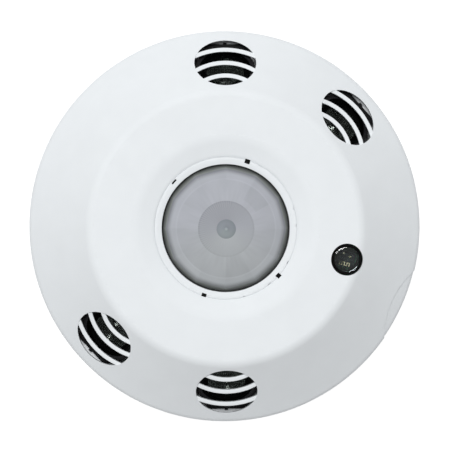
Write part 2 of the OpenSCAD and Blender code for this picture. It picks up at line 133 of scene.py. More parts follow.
CONE_FOOT_R = COVER_R - RIM_ROUND * (1 - math.sin(CONE))
CONE_TOP = (FACE_R + SHOULDER * math.sin(CONE), FACE_Z - SHOULDER * (1 - math.cos(CONE)))
CONE_FOOT_Z = CONE_TOP[1] - (CONE_FOOT_R - CONE_TOP[0]) * math.tan(CONE)
RIM_TOP = CONE_FOOT_Z - RIM_ROUND * math.cos(CONE)


def cone_z(r):
    """Height of the cover's cone at radius r."""
    return CONE_FOOT_Z + (CONE_FOOT_R - r) * math.tan(CONE)


def dish_z(r):
    """Height of the dish round the lens at radius r."""
    start = DISH_R - DISH_ROUND * math.sin(DISH)
    return FACE_Z - DISH_ROUND * (1 - math.cos(DISH)) - (start - r) * math.tan(DISH)


def arc(centre, radius, start, end, steps):
    """Points on an arc, its angles in radians."""
    turns = [start + (end - start) * i / steps for i in range(steps + 1)]
    return [(centre[0] + radius * math.cos(t), centre[1] + radius * math.sin(t)) for t in turns]


def line(a, b, steps):
    """Points from a to b, without b."""
    return [(a[0] + (b[0] - a[0]) * i / steps, a[1] + (b[1] - a[1]) * i / steps) for i in range(steps)]


# ---- Mesh helpers ----

def mesh_object(name, verts, faces, material=None):
    """New object from vertices in millimetres."""
    mesh = bpy.data.meshes.new(name)
    mesh.from_pydata([Vector(v) * MM for v in verts], [], faces)
    obj = bpy.data.objects.new(name, mesh)
    bpy.context.scene.collection.objects.link(obj)
    work = bmesh.new()
    work.from_mesh(mesh)
    bmesh.ops.remove_doubles(work, verts=work.verts, dist=1e-7)
    bmesh.ops.recalc_face_normals(work, faces=work.faces)
    work.to_mesh(mesh)
    work.free()
    if material:
        mesh.materials.append(material)
    return obj


def shade(obj, angle):
    """Smooth shading with sharp edges above an angle in degrees."""
    obj.data.shade_smooth()
    obj.data.set_sharp_from_angle(angle=math.radians(angle))


def lathe(name, profile, steps, material=None):
    """Closed profile of (radius, height) points turned round the Z axis."""
    count = len(profile)
    verts = []
    for k in range(steps):
        turn = 2 * math.pi * k / steps
        verts += [(r * math.cos(turn), r * math.sin(turn), z) for r, z in profile]
    faces = []
    for k in range(steps):
        after = (k + 1) % steps
        for i in range(count):
            j = (i + 1) % count
            faces.append((k * count + i, after * count + i, after * count + j, k * count + j))
    return mesh_object(name, verts, faces, material)


def prism(name, outline, low, high, material=None):
    """Upright prism over a closed plan outline."""
    count = len(outline)
    verts = [(x, y, low) for x, y in outline] + [(x, y, high) for x, y in outline]
    faces = [tuple(range(count)), tuple(range(2 * count - 1, count - 1, -1))]
    faces += [(i, (i + 1) % count, count + (i + 1) % count, count + i) for i in range(count)]
    return mesh_object(name, verts, faces, material)


def sweep(name, sections):
    """Closed solid through cross-sections that have the same number of points."""
    count = len(sections[0])
    verts = [p for section in sections for p in section]
    faces = [tuple(range(count)), tuple(range(len(verts) - 1, len(verts) - 1 - count, -1))]
    for s in range(len(sections) - 1):
        for i in range(count):
            j = (i + 1) % count
            faces.append((s * count + i, s * count + j, (s + 1) * count + j, (s + 1) * count + i))
    return mesh_object(name, verts, faces)


def apply_modifiers(obj):
    """Turns an object's modifiers into its mesh."""
    graph = bpy.context.evaluated_depsgraph_get()
    made = bpy.data.meshes.new_from_object(obj.evaluated_get(graph))
    obj.modifiers.clear()
    obj.data = made


def carve(obj, cutter, operation="DIFFERENCE"):
    """Boolean of obj with cutter, which is used up; cut faces take obj's material."""
    cutter.data.materials.clear()
    for material in obj.data.materials:
        cutter.data.materials.append(material)
    change = obj.modifiers.new("carve", "BOOLEAN")
    change.operation = operation
    change.solver = "MANIFOLD"
    change.object = cutter
    apply_modifiers(obj)
    bpy.data.objects.remove(cutter)
    return obj


def join(objects, name):
    """One object out of several, with the material of the first."""
    work = bmesh.new()
    for o in objects:
        start = len(work.verts)
        work.from_mesh(o.data)
        work.verts.ensure_lookup_table()
        bmesh.ops.transform(work, matrix=o.matrix_world, verts=work.verts[start:])
    mesh = bpy.data.meshes.new(name)
    for m in objects[0].data.materials:
        mesh.materials.append(m)
    work.to_mesh(mesh)
    work.free()
    for o in objects:
        bpy.data.objects.remove(o)
    made = bpy.data.objects.new(name, mesh)
    bpy.context.scene.collection.objects.link(made)
    return made


def soften(obj, width):
    """Small bevel on the edges that turn by more than 40 degrees."""
    bevel = obj.modifiers.new("soften", "BEVEL")
    bevel.width = width * MM
    bevel.segments = 2
    bevel.limit_method = "ANGLE"
    bevel.angle_limit = math.radians(40)


def place(obj, matrix):
    """Moves an object's mesh by a matrix in millimetres."""
    scale = Matrix.Scale(MM, 4)
    obj.data.transform(scale @ matrix @ scale.inverted())
    return obj


def turned(angle):
    """Rotation about Z, in degrees."""
    return Matrix.Rotation(math.radians(angle), 4, "Z")


# ---- Materials ----

# Noise scales, in cycles per metre
MOTTLE, GLOSS, SCRATCHES, BRUSHING, GRAIN = 140, 420, 900, 2600, 5200
GRAIN_DEEP = 0.02


def new_material(name, colour, roughness, **sockets):
    """Principled material; returns it with its node tree and shader."""
    material = bpy.data.materials.new(name)
    material.use_nodes = True
    tree = material.node_tree
    shader = tree.nodes["Principled BSDF"]
    shader.inputs["Base Color"].default_value = (*colour, 1)
    shader.inputs["Roughness"].default_value = roughness
    for socket, value in sockets.items():
        shader.inputs[socket.replace("_", " ")].default_value = value
    return material, tree, shader


def texture_space(tree):
    """Object coordinates, which don't depend on UVs."""
    return tree.nodes.new("ShaderNodeTexCoord").outputs["Object"]


def split_axes(tree, source):
    """X, Y and Z sockets of the object coordinates or of the object-space normal."""
    split = tree.nodes.new("ShaderNodeSeparateXYZ")
    tree.links.new(tree.nodes.new("ShaderNodeTexCoord").outputs[source], split.inputs["Vector"])
    return split.outputs


def noise(tree, scale, detail):
    """Noise texture in object space, scale in cycles per metre."""
    node = tree.nodes.new("ShaderNodeTexNoise")
    node.inputs["Scale"].default_value = scale
    node.inputs["Detail"].default_value = detail
    tree.links.new(texture_space(tree), node.inputs["Vector"])
    return node.outputs["Fac"]


def grey(level):
    """A colour without hue."""
    return (level, level, level)


def ramp(tree, value, stops):
    """Colour ramp with (position, colour) stops."""
    node = tree.nodes.new("ShaderNodeValToRGB")
    while len(node.color_ramp.elements) < len(stops):
        node.color_ramp.elements.new(0.5)
    for element, (at, colour) in zip(node.color_ramp.elements, stops):
        element.position = at
        element.color = (*colour, 1)
    tree.links.new(value, node.inputs["Fac"])
    return node.outputs["Color"]


def add_bump(tree, shader, height, strength, distance):
    """Bump from a height, distance in millimetres."""
    node = tree.nodes.new("ShaderNodeBump")
    node.inputs["Strength"].default_value = strength
    node.inputs["Distance"].default_value = distance * MM
    tree.links.new(height, node.inputs["Height"])
    tree.links.new(node.outputs["Normal"], shader.inputs["Normal"])


def moulded(name, colour, roughness, grain, tint=0.03, **sockets):
    """Moulded plastic: fine spark texture, faint mottling by tint and a slightly uneven gloss."""
    material, tree, shader = new_material(name, colour, roughness, **sockets)
    dark = tuple(c * (1 - tint) for c in colour)
    light = tuple(min(1, c * (1 + tint)) for c in colour)
    mottle = ramp(tree, noise(tree, MOTTLE, 3), [(0.3, dark), (0.7, light)])
    tree.links.new(mottle, shader.inputs["Base Color"])
    uneven = [(0.3, grey(roughness - 0.05)), (0.7, grey(roughness + 0.05))]
    tree.links.new(ramp(tree, noise(tree, GLOSS, 4), uneven), shader.inputs["Roughness"])
    add_bump(tree, shader, noise(tree, GRAIN, 2), grain, GRAIN_DEEP)
    return material


def metal(name, colour, roughness, brushed=False):
    """Bare metal with fine scratches, closer together if it is brushed."""
    material, tree, shader = new_material(name, colour, roughness, Metallic=1.0)
    grain = noise(tree, BRUSHING if brushed else SCRATCHES, 3)
    uneven = [(0.3, grey(roughness * 0.75)), (0.7, grey(roughness * 1.3))]
    tree.links.new(ramp(tree, grain, uneven), shader.inputs["Roughness"])
    add_bump(tree, shader, grain, 0.15, GRAIN_DEEP)
    return material


def math_node(tree, operation, a, b=0.0):
    """Math node on two sockets or numbers."""
    node = tree.nodes.new("ShaderNodeMath")
    node.operation = operation
    for socket, value in zip(node.inputs, (a, b)):
        if isinstance(value, float):
            socket.default_value = value
        else:
            tree.links.new(value, socket)
    return node.outputs["Value"]


def printed_board(name, mask, track):
    """Solder mask with raised copper tracks that run in patches across and along the board."""
    pitch, track_share = 1.27, 0.34
    material, tree, shader = new_material(name, mask, 0.32)
    axes = split_axes(tree, "Object")
    patches = noise(tree, 75, 1)
    across = math_node(tree, "GREATER_THAN", patches, 0.55)
    along = math_node(tree, "LESS_THAN", patches, 0.45)
    bands = []
    for axis, patch in (("X", across), ("Y", along)):
        phase = math_node(tree, "FRACT", math_node(tree, "MULTIPLY", axes[axis], 1 / (pitch * MM)))
        bands.append(math_node(tree, "MULTIPLY", math_node(tree, "LESS_THAN", phase, track_share), patch))
    copper = math_node(tree, "MAXIMUM", bands[0], bands[1])
    tree.links.new(ramp(tree, copper, [(0.0, mask), (1.0, track)]), shader.inputs["Base Color"])
    add_bump(tree, shader, copper, 0.6, 0.04)
    return material


def capacitor_can(name, sleeve, can):
    """Printed sleeve round the side, bare metal on top."""
    material, tree, shader = new_material(name, sleeve, 0.3)
    top = math_node(tree, "GREATER_THAN", split_axes(tree, "Normal")["Z"], 0.9)
    tree.links.new(ramp(tree, top, [(0.0, sleeve), (1.0, can)]), shader.inputs["Base Color"])
    tree.links.new(top, shader.inputs["Metallic"])
    add_bump(tree, shader, noise(tree, SCRATCHES, 2), 0.1, GRAIN_DEEP)
    return material


def legged_chip(name, epoxy, tin, foot):
    """Black epoxy body with tinned legs, whose tops face up below a height."""
    material, tree, shader = new_material(name, epoxy, 0.45, Specular_IOR_Level=0.4)
    low = math_node(tree, "LESS_THAN", split_axes(tree, "Object")["Z"], foot * MM)
    upward = math_node(tree, "GREATER_THAN", split_axes(tree, "Normal")["Z"], 0.4)
    legs = math_node(tree, "MULTIPLY", low, upward)
    tree.links.new(ramp(tree, legs, [(0.0, epoxy), (1.0, tin)]), shader.inputs["Base Color"])
    tree.links.new(legs, shader.inputs["Metallic"])
    add_bump(tree, shader, noise(tree, GRAIN, 2), 0.4, GRAIN_DEEP)
    return material


def wound_core(name, core, wire_colour, low, high):
    """Ferrite drum with copper wire wound between two heights."""
    pitch = 0.4
    material, tree, shader = new_material(name, core, 0.35)
    height = split_axes(tree, "Object")["Z"]
    above = math_node(tree, "GREATER_THAN", height, low * MM)
    below = math_node(tree, "LESS_THAN", height, high * MM)
    wound = math_node(tree, "MULTIPLY", above, below)
    turns = math_node(tree, "SINE", math_node(tree, "MULTIPLY", height, 2 * math.pi / (pitch * MM)))
    tree.links.new(ramp(tree, wound, [(0.0, core), (1.0, wire_colour)]), shader.inputs["Base Color"])
    tree.links.new(math_node(tree, "MULTIPLY", wound, 0.8), shader.inputs["Metallic"])
    add_bump(tree, shader, math_node(tree, "MULTIPLY", turns, wound), 0.8, 0.1)
    return material


cover_white = moulded("cover_white", (0.80, 0.832, 0.855), 0.65, 0.25, 0.012, Specular_IOR_Level=0.3)
matt_black = moulded("matt_black", grey(0.002), 0.55, 0.3, 0.1, Specular_IOR_Level=0.07)

# Material of each slot; the lamps and the window let light through
PAINT = {
    "white_plastic": moulded("plate_white", (0.76, 0.78, 0.80), 0.5, 0.4),
    "housing_plastic": moulded("housing_grey", (0.70, 0.72, 0.74), 0.5, 0.4),
    "board": printed_board("solder_mask", (0.016, 0.13, 0.05), (0.05, 0.27, 0.09)),
    "black_rubber": moulded("rubber_black", (0.009, 0.009, 0.010), 0.6, 0.6, Specular_IOR_Level=0.25),
    "black_plastic": moulded("plastic_black", (0.012, 0.012, 0.014), 0.4, 0.4, Specular_IOR_Level=0.35),
    "aluminium": metal("drawn_aluminium", (0.80, 0.81, 0.82), 0.28),
    "tin_plate": metal("tin_plate", (0.70, 0.70, 0.68), 0.35, True),
    "nickel": metal("nickel_plate", (0.72, 0.71, 0.68), 0.25),
    "brass": metal("brass", (0.86, 0.72, 0.42), 0.3),
    "filter": moulded("silicon_filter", (0.03, 0.03, 0.04), 0.12, 0.05),
    "ceramic": moulded("ceramic", (0.55, 0.42, 0.28), 0.4, 0.2, 0.1),
    "trimmer_blue": moulded("trimmer_blue", (0.02, 0.09, 0.34), 0.35, 0.3),
    "knob_black": moulded("knob_black", grey(0.03), 0.4, 0.3),
    "knob_red": moulded("knob_red", (0.52, 0.03, 0.02), 0.4, 0.3),
    "knob_green": moulded("knob_green", (0.02, 0.30, 0.08), 0.4, 0.3),
    "knob_blue": moulded("knob_blue", (0.02, 0.10, 0.45), 0.4, 0.3),
    "switch_red": moulded("switch_red", (0.48, 0.03, 0.02), 0.35, 0.3),
    "slider_white": moulded("slider_white", (0.80, 0.80, 0.78), 0.4, 0.3),
    "terminal_green": moulded("terminal_green", (0.03, 0.30, 0.10), 0.35, 0.3),
    "wire_red": moulded("wire_insulation", (0.45, 0.02, 0.02), 0.45, 0.2),
    "capacitor_sleeve": capacitor_can("capacitor_sleeve", (0.02, 0.03, 0.10), (0.70, 0.71, 0.72)),
    "red_lamp": moulded("red_lamp", (0.75, 0.02, 0.015), 0.12, 0.05, 0.1, Transmission_Weight=0.5),
    "green_lamp": moulded("green_lamp", (0.03, 0.55, 0.07), 0.12, 0.05, 0.1, Transmission_Weight=0.5),
    "smoked_plastic": moulded("smoked_window", (0.55, 0.62, 0.64), 0.05, 0.004, 0.35,
                              Transmission_Weight=1.0, IOR=1.65),
    "dark_mesh": metal("blackened_mesh", (0.008, 0.010, 0.009), 0.3),
    # Aluminium darkened as painted shade, for the resonator cones deep behind the sound openings
    "dark_aluminium": metal("dark_aluminium", (0.24, 0.27, 0.25), 0.18),
}

# Board's top in the nodes' own axes, and heights over it: the coil's two ends, and the top of chip legs
BOARD_TOP = node_box("inductor")[0].z - frame["nodes"]["inductor"].matrix_world.translation.z / MM
COIL = (BOARD_TOP + 1, BOARD_TOP + 5)
CHIP_LEGS = BOARD_TOP + 0.55
PAINT["ferrite"] = wound_core("ferrite", (0.06, 0.05, 0.045), (0.62, 0.27, 0.12), *COIL)
chip_black = legged_chip("chip_epoxy", (0.012, 0.012, 0.013), (0.62, 0.62, 0.60), CHIP_LEGS)
cell_dark = moulded("light_cell_ceramic", (0.012, 0.015, 0.011), 0.3, 0.3, 0.5)
# Nodes whose look differs from that of their slot
OWN_PAINT = {"light_cell": cell_dark, "microcontroller": chip_black, "amplifier_chips": chip_black}


def attribute(tree, name):
    """Reads a mesh attribute."""
    node = tree.nodes.new("ShaderNodeAttribute")
    node.attribute_name = name
    return node.outputs


def lens_material():
    """Milky polyethylene, coloured by the mesh's shade attribute, which holds the zones' greys and painted
    shade, with fine sawtooth grooves.
    """
    material, tree, shader = new_material("lens_milky", (0.4, 0.42, 0.44), 0.62)
    shader.inputs["Specular IOR Level"].default_value = 0.25
    shader.inputs["Subsurface Weight"].default_value = 0.6
    shader.inputs["Subsurface Radius"].default_value = (1.0, 1.0, 1.0)
    shader.inputs["Subsurface Scale"].default_value = 3 * MM
    tree.links.new(attribute(tree, "shade")["Color"], shader.inputs["Base Color"])
    saw = math_node(tree, "FRACT", attribute(tree, "groove")["Fac"])
    add_bump(tree, shader, saw, 0.35, 0.05)
    return material


# ---- Front cover ----

def dish_path(r, inset, steps=10):
    """The dish from radius r up to the flat face, moved inwards by inset."""
    foot = (r, dish_z(r) - inset / math.cos(DISH))
    bend = arc((DISH_R, FACE_Z - DISH_ROUND), DISH_ROUND - inset, math.pi / 2 + DISH, math.pi / 2, steps)
    return line(foot, bend[0], 5) + bend


def edge_path(inset, steps=12):
    """Shoulder, cone and rim, moved inwards by inset."""
    shoulder = arc((FACE_R, FACE_Z - SHOULDER), SHOULDER - inset, math.pi / 2, math.pi / 2 - CONE, steps)
    rim = arc((COVER_R - RIM_ROUND, RIM_TOP), RIM_ROUND - inset, math.pi / 2 - CONE, 0, steps)
    return shoulder[:-1] + line(shoulder[-1], rim[0], 12) + rim


def cover_profile():
    """Closed outline of the cover's wall, with a small lip at the seam round the collar."""
    lip, play = 0.045, 0.018
    seam = COLLAR_R + play
    inner_r = COVER_R - WALL
    socket_r = SOCKET_R + SOCKET_WALL
    outside = dish_path(seam + lip, 0) + edge_path(0)
    inside = edge_path(WALL, 6)
    inside_dish = dish_path(socket_r, WALL, 6)
    rim = [(COVER_R, RIM_Z + 0.4), (COVER_R - 0.4, RIM_Z), (inner_r + 0.3, RIM_Z), (inner_r, RIM_Z + 0.3)]
    socket = [(socket_r, LEDGE_Z + 0.2), (socket_r - 0.2, LEDGE_Z), (LEDGE_R, LEDGE_Z), (LEDGE_R, SEAT_Z),
              (SOCKET_R, SEAT_Z), (SOCKET_R, SEAT_Z + 1.2), (seam, SEAT_Z + 1.4), (seam, dish_z(seam) - lip)]
    return outside + rim + inside[::-1] + inside_dish[::-1] + socket


def oval(middle, half_axes, steps):
    """Plan outline of an oval whose middle is on the X axis."""
    turns = [2 * math.pi * i / steps for i in range(steps)]
    return [(middle + half_axes[0] * math.cos(t), half_axes[1] * math.sin(t)) for t in turns]


def in_opening(x, y):
    """Whether a point of the plan lies in the sound opening at angle 0."""
    return ((x - SOUND_R) / SOUND_OVAL[0]) ** 2 + (y / SOUND_OVAL[1]) ** 2 < 1


def bar_reach(middle):
    """Half the angle of a bar of this middle radius, whose ends are sunk into the cover's wall."""
    angles = [k / 400 for k in range(1, 800)]
    inside = [t for t in angles if in_opening(BAR_CENTRE + middle * math.cos(t), middle * math.sin(t))]
    return inside[-1] + BAR_ROOT / middle


def sound_bar(inner):
    """One curved bar at angle 0, its flat top level with the cone at its outer edge."""
    outer = inner + BAR_W
    reach = bar_reach((inner + outer) / 2)
    rise = BAR_W * math.tan(BAR_SLOPE)
    sections = []
    for k in range(BAR_STEPS + 1):
        t = reach * (2 * k / BAR_STEPS - 1)
        edge = math.hypot(BAR_CENTRE + outer * math.cos(t), outer * math.sin(t))
        top = cone_z(edge) - BAR_SUNK
        corners = arc((outer - BAR_ROUND, top - BAR_ROUND), BAR_ROUND, 0, math.pi / 2, 3)
        corners += arc((inner + BAR_ROUND, top + rise - BAR_ROUND), BAR_ROUND, math.pi / 2, math.pi, 3)
        corners += [(inner, top - BAR_DEEP), (outer, top - BAR_DEEP)]
        sections.append([(BAR_CENTRE + r * math.cos(t), r * math.sin(t), z) for r, z in corners])
    return sweep("bar", sections)


def snap_nose():
    """One nose inside the rim at angle 0; its steps keep clear of the rim's own facets."""
    root, tip = COVER_R - WALL + 0.4, COVER_R - WALL - NOSE_REACH
    corners = [(root, RIM_Z + 0.8), (tip, RIM_Z + 1.4), (tip, RIM_Z + 2.0), (root, RIM_Z + 3.0)]
    turns = [math.radians(1.2 * k - 3) for k in range(6)]
    return sweep("nose", [[(r * math.cos(t), r * math.sin(t), z) for r, z in corners] for t in turns])


def window_outline(width, inner, outer):
    """Plan outline of a latch window or a nick at angle 0."""
    half = width / 2
    return [(inner, -half), (outer, -half), (outer, half), (inner, half)]


def cover_cutters():
    """What is cut out of the cover: sound openings, light hole, and the latch windows' outer ends."""
    foot, above = LEDGE_Z - 15, FACE_Z + 3
    opening = oval(SOUND_R, SOUND_OVAL, 96)
    cutters = [place(prism("hole", opening, foot, above), turned(angle)) for angle in SOUND.values()]
    cutters.append(place(prism("hole", oval(0, (LIGHT_HOLE_R, LIGHT_HOLE_R), 96), 6, above), at_light()))
    for angle, width, inner, outer in NOTCHES:
        if outer > COLLAR_R:
            outline = window_outline(width, max(inner, COLLAR_R - 0.3), outer)
            cutters.append(place(prism("hole", outline, SEAT_Z + 0.9, FACE_Z), turned(angle)))
    return join(cutters, "holes")


def pry_cutter():
    """Takes the shallow scallop out of the rim: where a disc and a band round the cover meet."""
    middle = COVER_R - SCALLOP_REACH + SCALLOP_R
    disc = prism("disc", oval(middle, (SCALLOP_R, SCALLOP_R), 160), RIM_Z - 2, FACE_Z + 1)
    foot, above, far = RIM_Z - 3, FACE_Z + 3, COVER_R + 4
    band = edge_path(SCALLOP_DEEP)
    band += [(COVER_R - SCALLOP_DEEP, foot), (far, foot), (far, above), (FACE_R, above)]
    place(disc, turned(SCALLOP_AT))
    return carve(disc, lathe("band", band, ROUND_STEPS), "INTERSECT")


def front_cover():
    """The white shell with its grilles, light hole, pry scallop and snap noses."""
    cover = lathe("cover_shell", cover_profile(), ROUND_STEPS, cover_white)
    carve(cover, cover_cutters())
    carve(cover, pry_cutter())
    bars = [place(sound_bar(inner), turned(angle)) for angle in SOUND.values() for inner in BAR_IN]
    carve(cover, join(bars, "bars"), "UNION")
    noses = [place(snap_nose(), turned(angle)) for angle in NOSES_AT]
    carve(cover, join(noses, "noses"), "UNION")
    shade(cover, 28)
    soften(cover, 0.16)
    cover.modifiers.new("even_normals", "WEIGHTED_NORMAL").keep_sharp = False
    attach(cover, "cover")
    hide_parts("front_cover")


# ---- Collar ----

# Bore of the collar, and the bend from which it falls towards the lens
COLLAR_IN_R = 18.34
COLLAR_BEND_R = 19.6
COLLAR_FALL = math.radians(9)
NICK_DEEP = 0.09
# Black blocks of painted shade low in the latch windows: play in their windows, how low they sit, and height
SHADE_BLOCK_PLAY = 0.03
SHADE_BLOCK_SUNK = 0.35
SHADE_BLOCK_H = 1.2


def collar_profile(low_z, high_z):
    """Closed outline of the collar, which falls towards the lens inside its bend."""
    soft, lip = 0.06, 0.12
    inner_z = high_z - (COLLAR_BEND_R - COLLAR_IN_R) * math.tan(COLLAR_FALL)
    profile = [(COLLAR_IN_R, low_z), (COLLAR_R, low_z)]
    profile += arc((COLLAR_R - soft, high_z - soft), soft, 0, math.pi / 2, 3)
    profile += [(COLLAR_BEND_R + 0.15, high_z), (COLLAR_BEND_R, high_z - 0.01),
                (COLLAR_BEND_R - 0.15, high_z - 0.03)]
    profile += arc((COLLAR_IN_R + lip, inner_z - lip), lip, math.pi / 2, math.pi, 5)
    return profile


def lens_collar():
    """Ring round the lens, with four latch windows and a few nicks in its seam."""
    low, high = node_box("lens_collar")
    collar = lathe("collar_ring", collar_profile(low.z, high.z), ROUND_STEPS, cover_white)
    collar.modifiers.new("even_normals", "WEIGHTED_NORMAL").keep_sharp = True
    past, above = COLLAR_R + 1, high.z + 1
    cuts = [(angle, window_outline(width, inner, min(outer, past)), low.z + 0.5)
            for angle, width, inner, outer in NOTCHES]
    cuts += [(angle, window_outline(width, COLLAR_R - NICK_DEEP, past), high.z - 0.8)
             for angle, width in NICKS]
    cutters = [place(prism("cut", outline, foot, above), turned(angle)) for angle, outline, foot in cuts]
    carve(collar, join(cutters, "cuts"))
    shade(collar, 35)
    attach(collar, "cover")
    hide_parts("lens_collar")


def notch_shade_blocks():
    """Black blocks in the collar's latch windows, a dark thing put there as painted shade of the windows'
    depths.
    """
    top = node_box("lens_collar")[1].z - SHADE_BLOCK_SUNK
    for number, (angle, width, inner, outer) in enumerate(NOTCHES, 1):
        end = min(outer, COLLAR_R + 1) - SHADE_BLOCK_PLAY
        outline = window_outline(width - 2 * SHADE_BLOCK_PLAY, inner + SHADE_BLOCK_PLAY, end)
        tip = place(prism("notch_shade_%d" % number, outline, top - SHADE_BLOCK_H, top, matt_black), turned(angle))
        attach(tip, "cover")


# ---- Lens ----

# Radius of the dome's curve, points in a ring, and spacing of the rings
LENS_R = 25.7
LENS_STEPS = 360
LENS_ROW = 0.3
# Wedges, half the width of the creases between them, and how flat a facet is across
WEDGE = math.radians(30)
CREASE = math.radians(0.5)
CREASE_DEEP = 0.02
FACET_DROP = 0.35
GROOVE_PITCH = 0.55
# Outer edge of the facets, and the skirt, bore and flange behind the collar
LENS_BROW_R = 17.2
LENS_SKIRT_R = 18.15
LENS_BORE_R = 17.35
LENS_FLANGE = 0.8
LENS_WALL = 0.8
BROW_FLAT = 0.7
SKIRT_DROP = 1.5
DOME, INNER, MIDDLE, OUTER = range(4)
FACETED = (MIDDLE, OUTER)
# Where each zone of the lens begins and ends, how flat its rim is cut at either end, and its shade
LENS_ZONES = (
    (0.0, 2.75, 0, 0, 0.30),
    (2.75, 8.0, 0, 0, 0.41),
    (8.0, 13.9, 0, 0, 0.50),
    (13.9, LENS_BROW_R, 0, BROW_FLAT, 0.50),
)
# Painted shade by side: how pale each zone is across the key light's direction, and how much darker it is
# painted towards the light
PAINTED_SIDE_SHADE = ((1, 0), (1.01, 0.15), (0.97, 0.04), (1.02, 0.08))
# Painted shade: the outer zone darkens towards the brow, from this radius, over this width, by this share
BROW_SHADE = (15.6, 1.3, 0.48)


def lens_rows():
    """Rows of the lens's outside as (radius, how 12-sided, zone), from the top to the facets' foot."""
    rows = []
    for zone, (first, last, flat_in, flat_out, _) in enumerate(LENS_ZONES):
        count = math.ceil((last - first) / LENS_ROW)
        for k in range(count + 1):
            share = k / count
            rows.append((first + (last - first) * share, flat_in + (flat_out - flat_in) * share, zone))
    return rows


def from_wedge(turn):
    """Angle from the middle line of the wedge that a direction is in."""
    return turn % WEDGE - WEDGE / 2


def chord_share(turn):
    """Radius of a twelve-sided outline in a direction, as a share of the radius of its corners."""
    return math.cos(WEDGE / 2) / math.cos(from_wedge(turn))


def lens_point(r, flat, zone, turn, centre):
    """Point of the lens's outside: twelve flat wedges a ring, with a fine crease between them."""
    lost = 1 - chord_share(turn)
    plan = r * (1 - flat * lost)
    drop = plan / (1 - FACET_DROP * lost) if zone in FACETED else plan
    on_crease = zone in FACETED and abs(from_wedge(turn)) > WEDGE / 2 - CREASE
    height = centre + math.sqrt(LENS_R ** 2 - drop ** 2) - (CREASE_DEEP if on_crease else 0)
    return (plan * math.cos(turn), plan * math.sin(turn), height)


def dome_pattern(r, turn):
    """Pale spot in the middle, faint rings round it, darker on one side."""
    if r < 0.5:
        return 1.3
    return 1 - 0.05 * math.cos(2.2 * r) - 0.07 * math.cos(turn - math.radians(50))


def inner_pattern(r, turn):
    """Fine ribs on the left of the inner ring, the side towards the light, painted as a glint where real
    grooves catch it; and a darker edge.
    """
    lit_side = math.cos(turn - math.radians(155)) > 0.2
    ribs = 1 - 0.07 * math.cos(78 * turn) if r > 6.0 and lit_side else 1
    return ribs * (0.95 if r > 7.6 else 1)


def streaks(r, turn):
    """Faint uneven rays."""
    return 1 + 0.014 * math.sin(43 * turn + 1.5 * math.sin(5 * turn)) * math.sin(0.5 * r)


def facet_pattern(r, turn, zone):
    """Differences from wedge to wedge, and painted shade from the middle of a facet to its sides."""
    wedge = int(turn // WEDGE)
    level = 1 + 0.026 * math.sin(wedge * 2.4 + zone)
    # Painted shade across each facet: its middle darker near the inner edge and lighter near the outer
    level *= 1 + 0.022 * math.cos(12 * turn) * math.cos(0.55 * (r - 8))
    if zone == MIDDLE and wedge == 1:
        level *= 0.965 if r > 9.6 else 1.03
    if zone == OUTER and 13.9 < r < 14.4:
        level *= 1.06
    return level


def lens_shade(r, turn, zone):
    """Milky grey that differs a little from zone to zone and from wedge to wedge, with painted shade and a
    painted blue reflection on the upper side.
    """
    pale, darker = PAINTED_SIDE_SHADE[zone]
    start, width, depth = BROW_SHADE
    # Painted shade: each zone darker on the side towards the key light
    level = LENS_ZONES[zone][4] * (pale - darker * math.cos(turn - KEY_BEARING))
    # Painted shade towards the brow
    level *= 1 - depth * min(1, max(0, (r - start) / width)) ** 1.3
    if zone == DOME:
        level *= dome_pattern(r, turn)
    if zone == INNER:
        level *= inner_pattern(r, turn)
    if zone in (INNER, MIDDLE):
        level *= streaks(r, turn)
    if zone in FACETED:
        level *= facet_pattern(r, turn, zone)
    # Painted reflection: bluer on the upper side
    blue_reflection = min(1, max(0, 0.8 + math.sin(turn)))
    warm = 0.94 if zone == DOME else 1
    return (level * warm * (0.95 - 0.015 * blue_reflection), level * (1 - 0.03 * blue_reflection), level * (1.04 + 0.02 * blue_reflection), 1)


def skirt_shade(share):
    """Painted shade: the lens gets darker where it drops behind the collar."""
    level = 0.245 * (1 - share) ** 1.2 + 0.012
    return (level * 0.96, level * 1.03, level, 1)


def skirt_point(share, turn, foot):
    """Point between the twelve-sided foot of the facets and the round bore of the collar."""
    corner = 1 - BROW_FLAT * (1 - chord_share(turn))
    plan = LENS_BROW_R * corner * (1 - share) + LENS_SKIRT_R * share
    return (plan * math.cos(turn), plan * math.sin(turn), foot - SKIRT_DROP * share ** 0.8)


def lens_hidden(low, high, centre, foot):
    """Flange, bore and inside of the dome as (radius, height), ending in the middle."""
    inner = LENS_R - LENS_WALL
    lowest = math.asin((LENS_BROW_R - 0.55) / inner)
    turns = [lowest * k / 12 for k in range(12, -1, -1)]
    flange_z = low.z + LENS_FLANGE
    outline = [(LENS_SKIRT_R, flange_z), (high.x, flange_z), (high.x, low.z), (LENS_BORE_R, low.z),
               (LENS_BORE_R, foot - 1.9)]
    return outline + [(inner * math.sin(t), centre + inner * math.cos(t)) for t in turns]


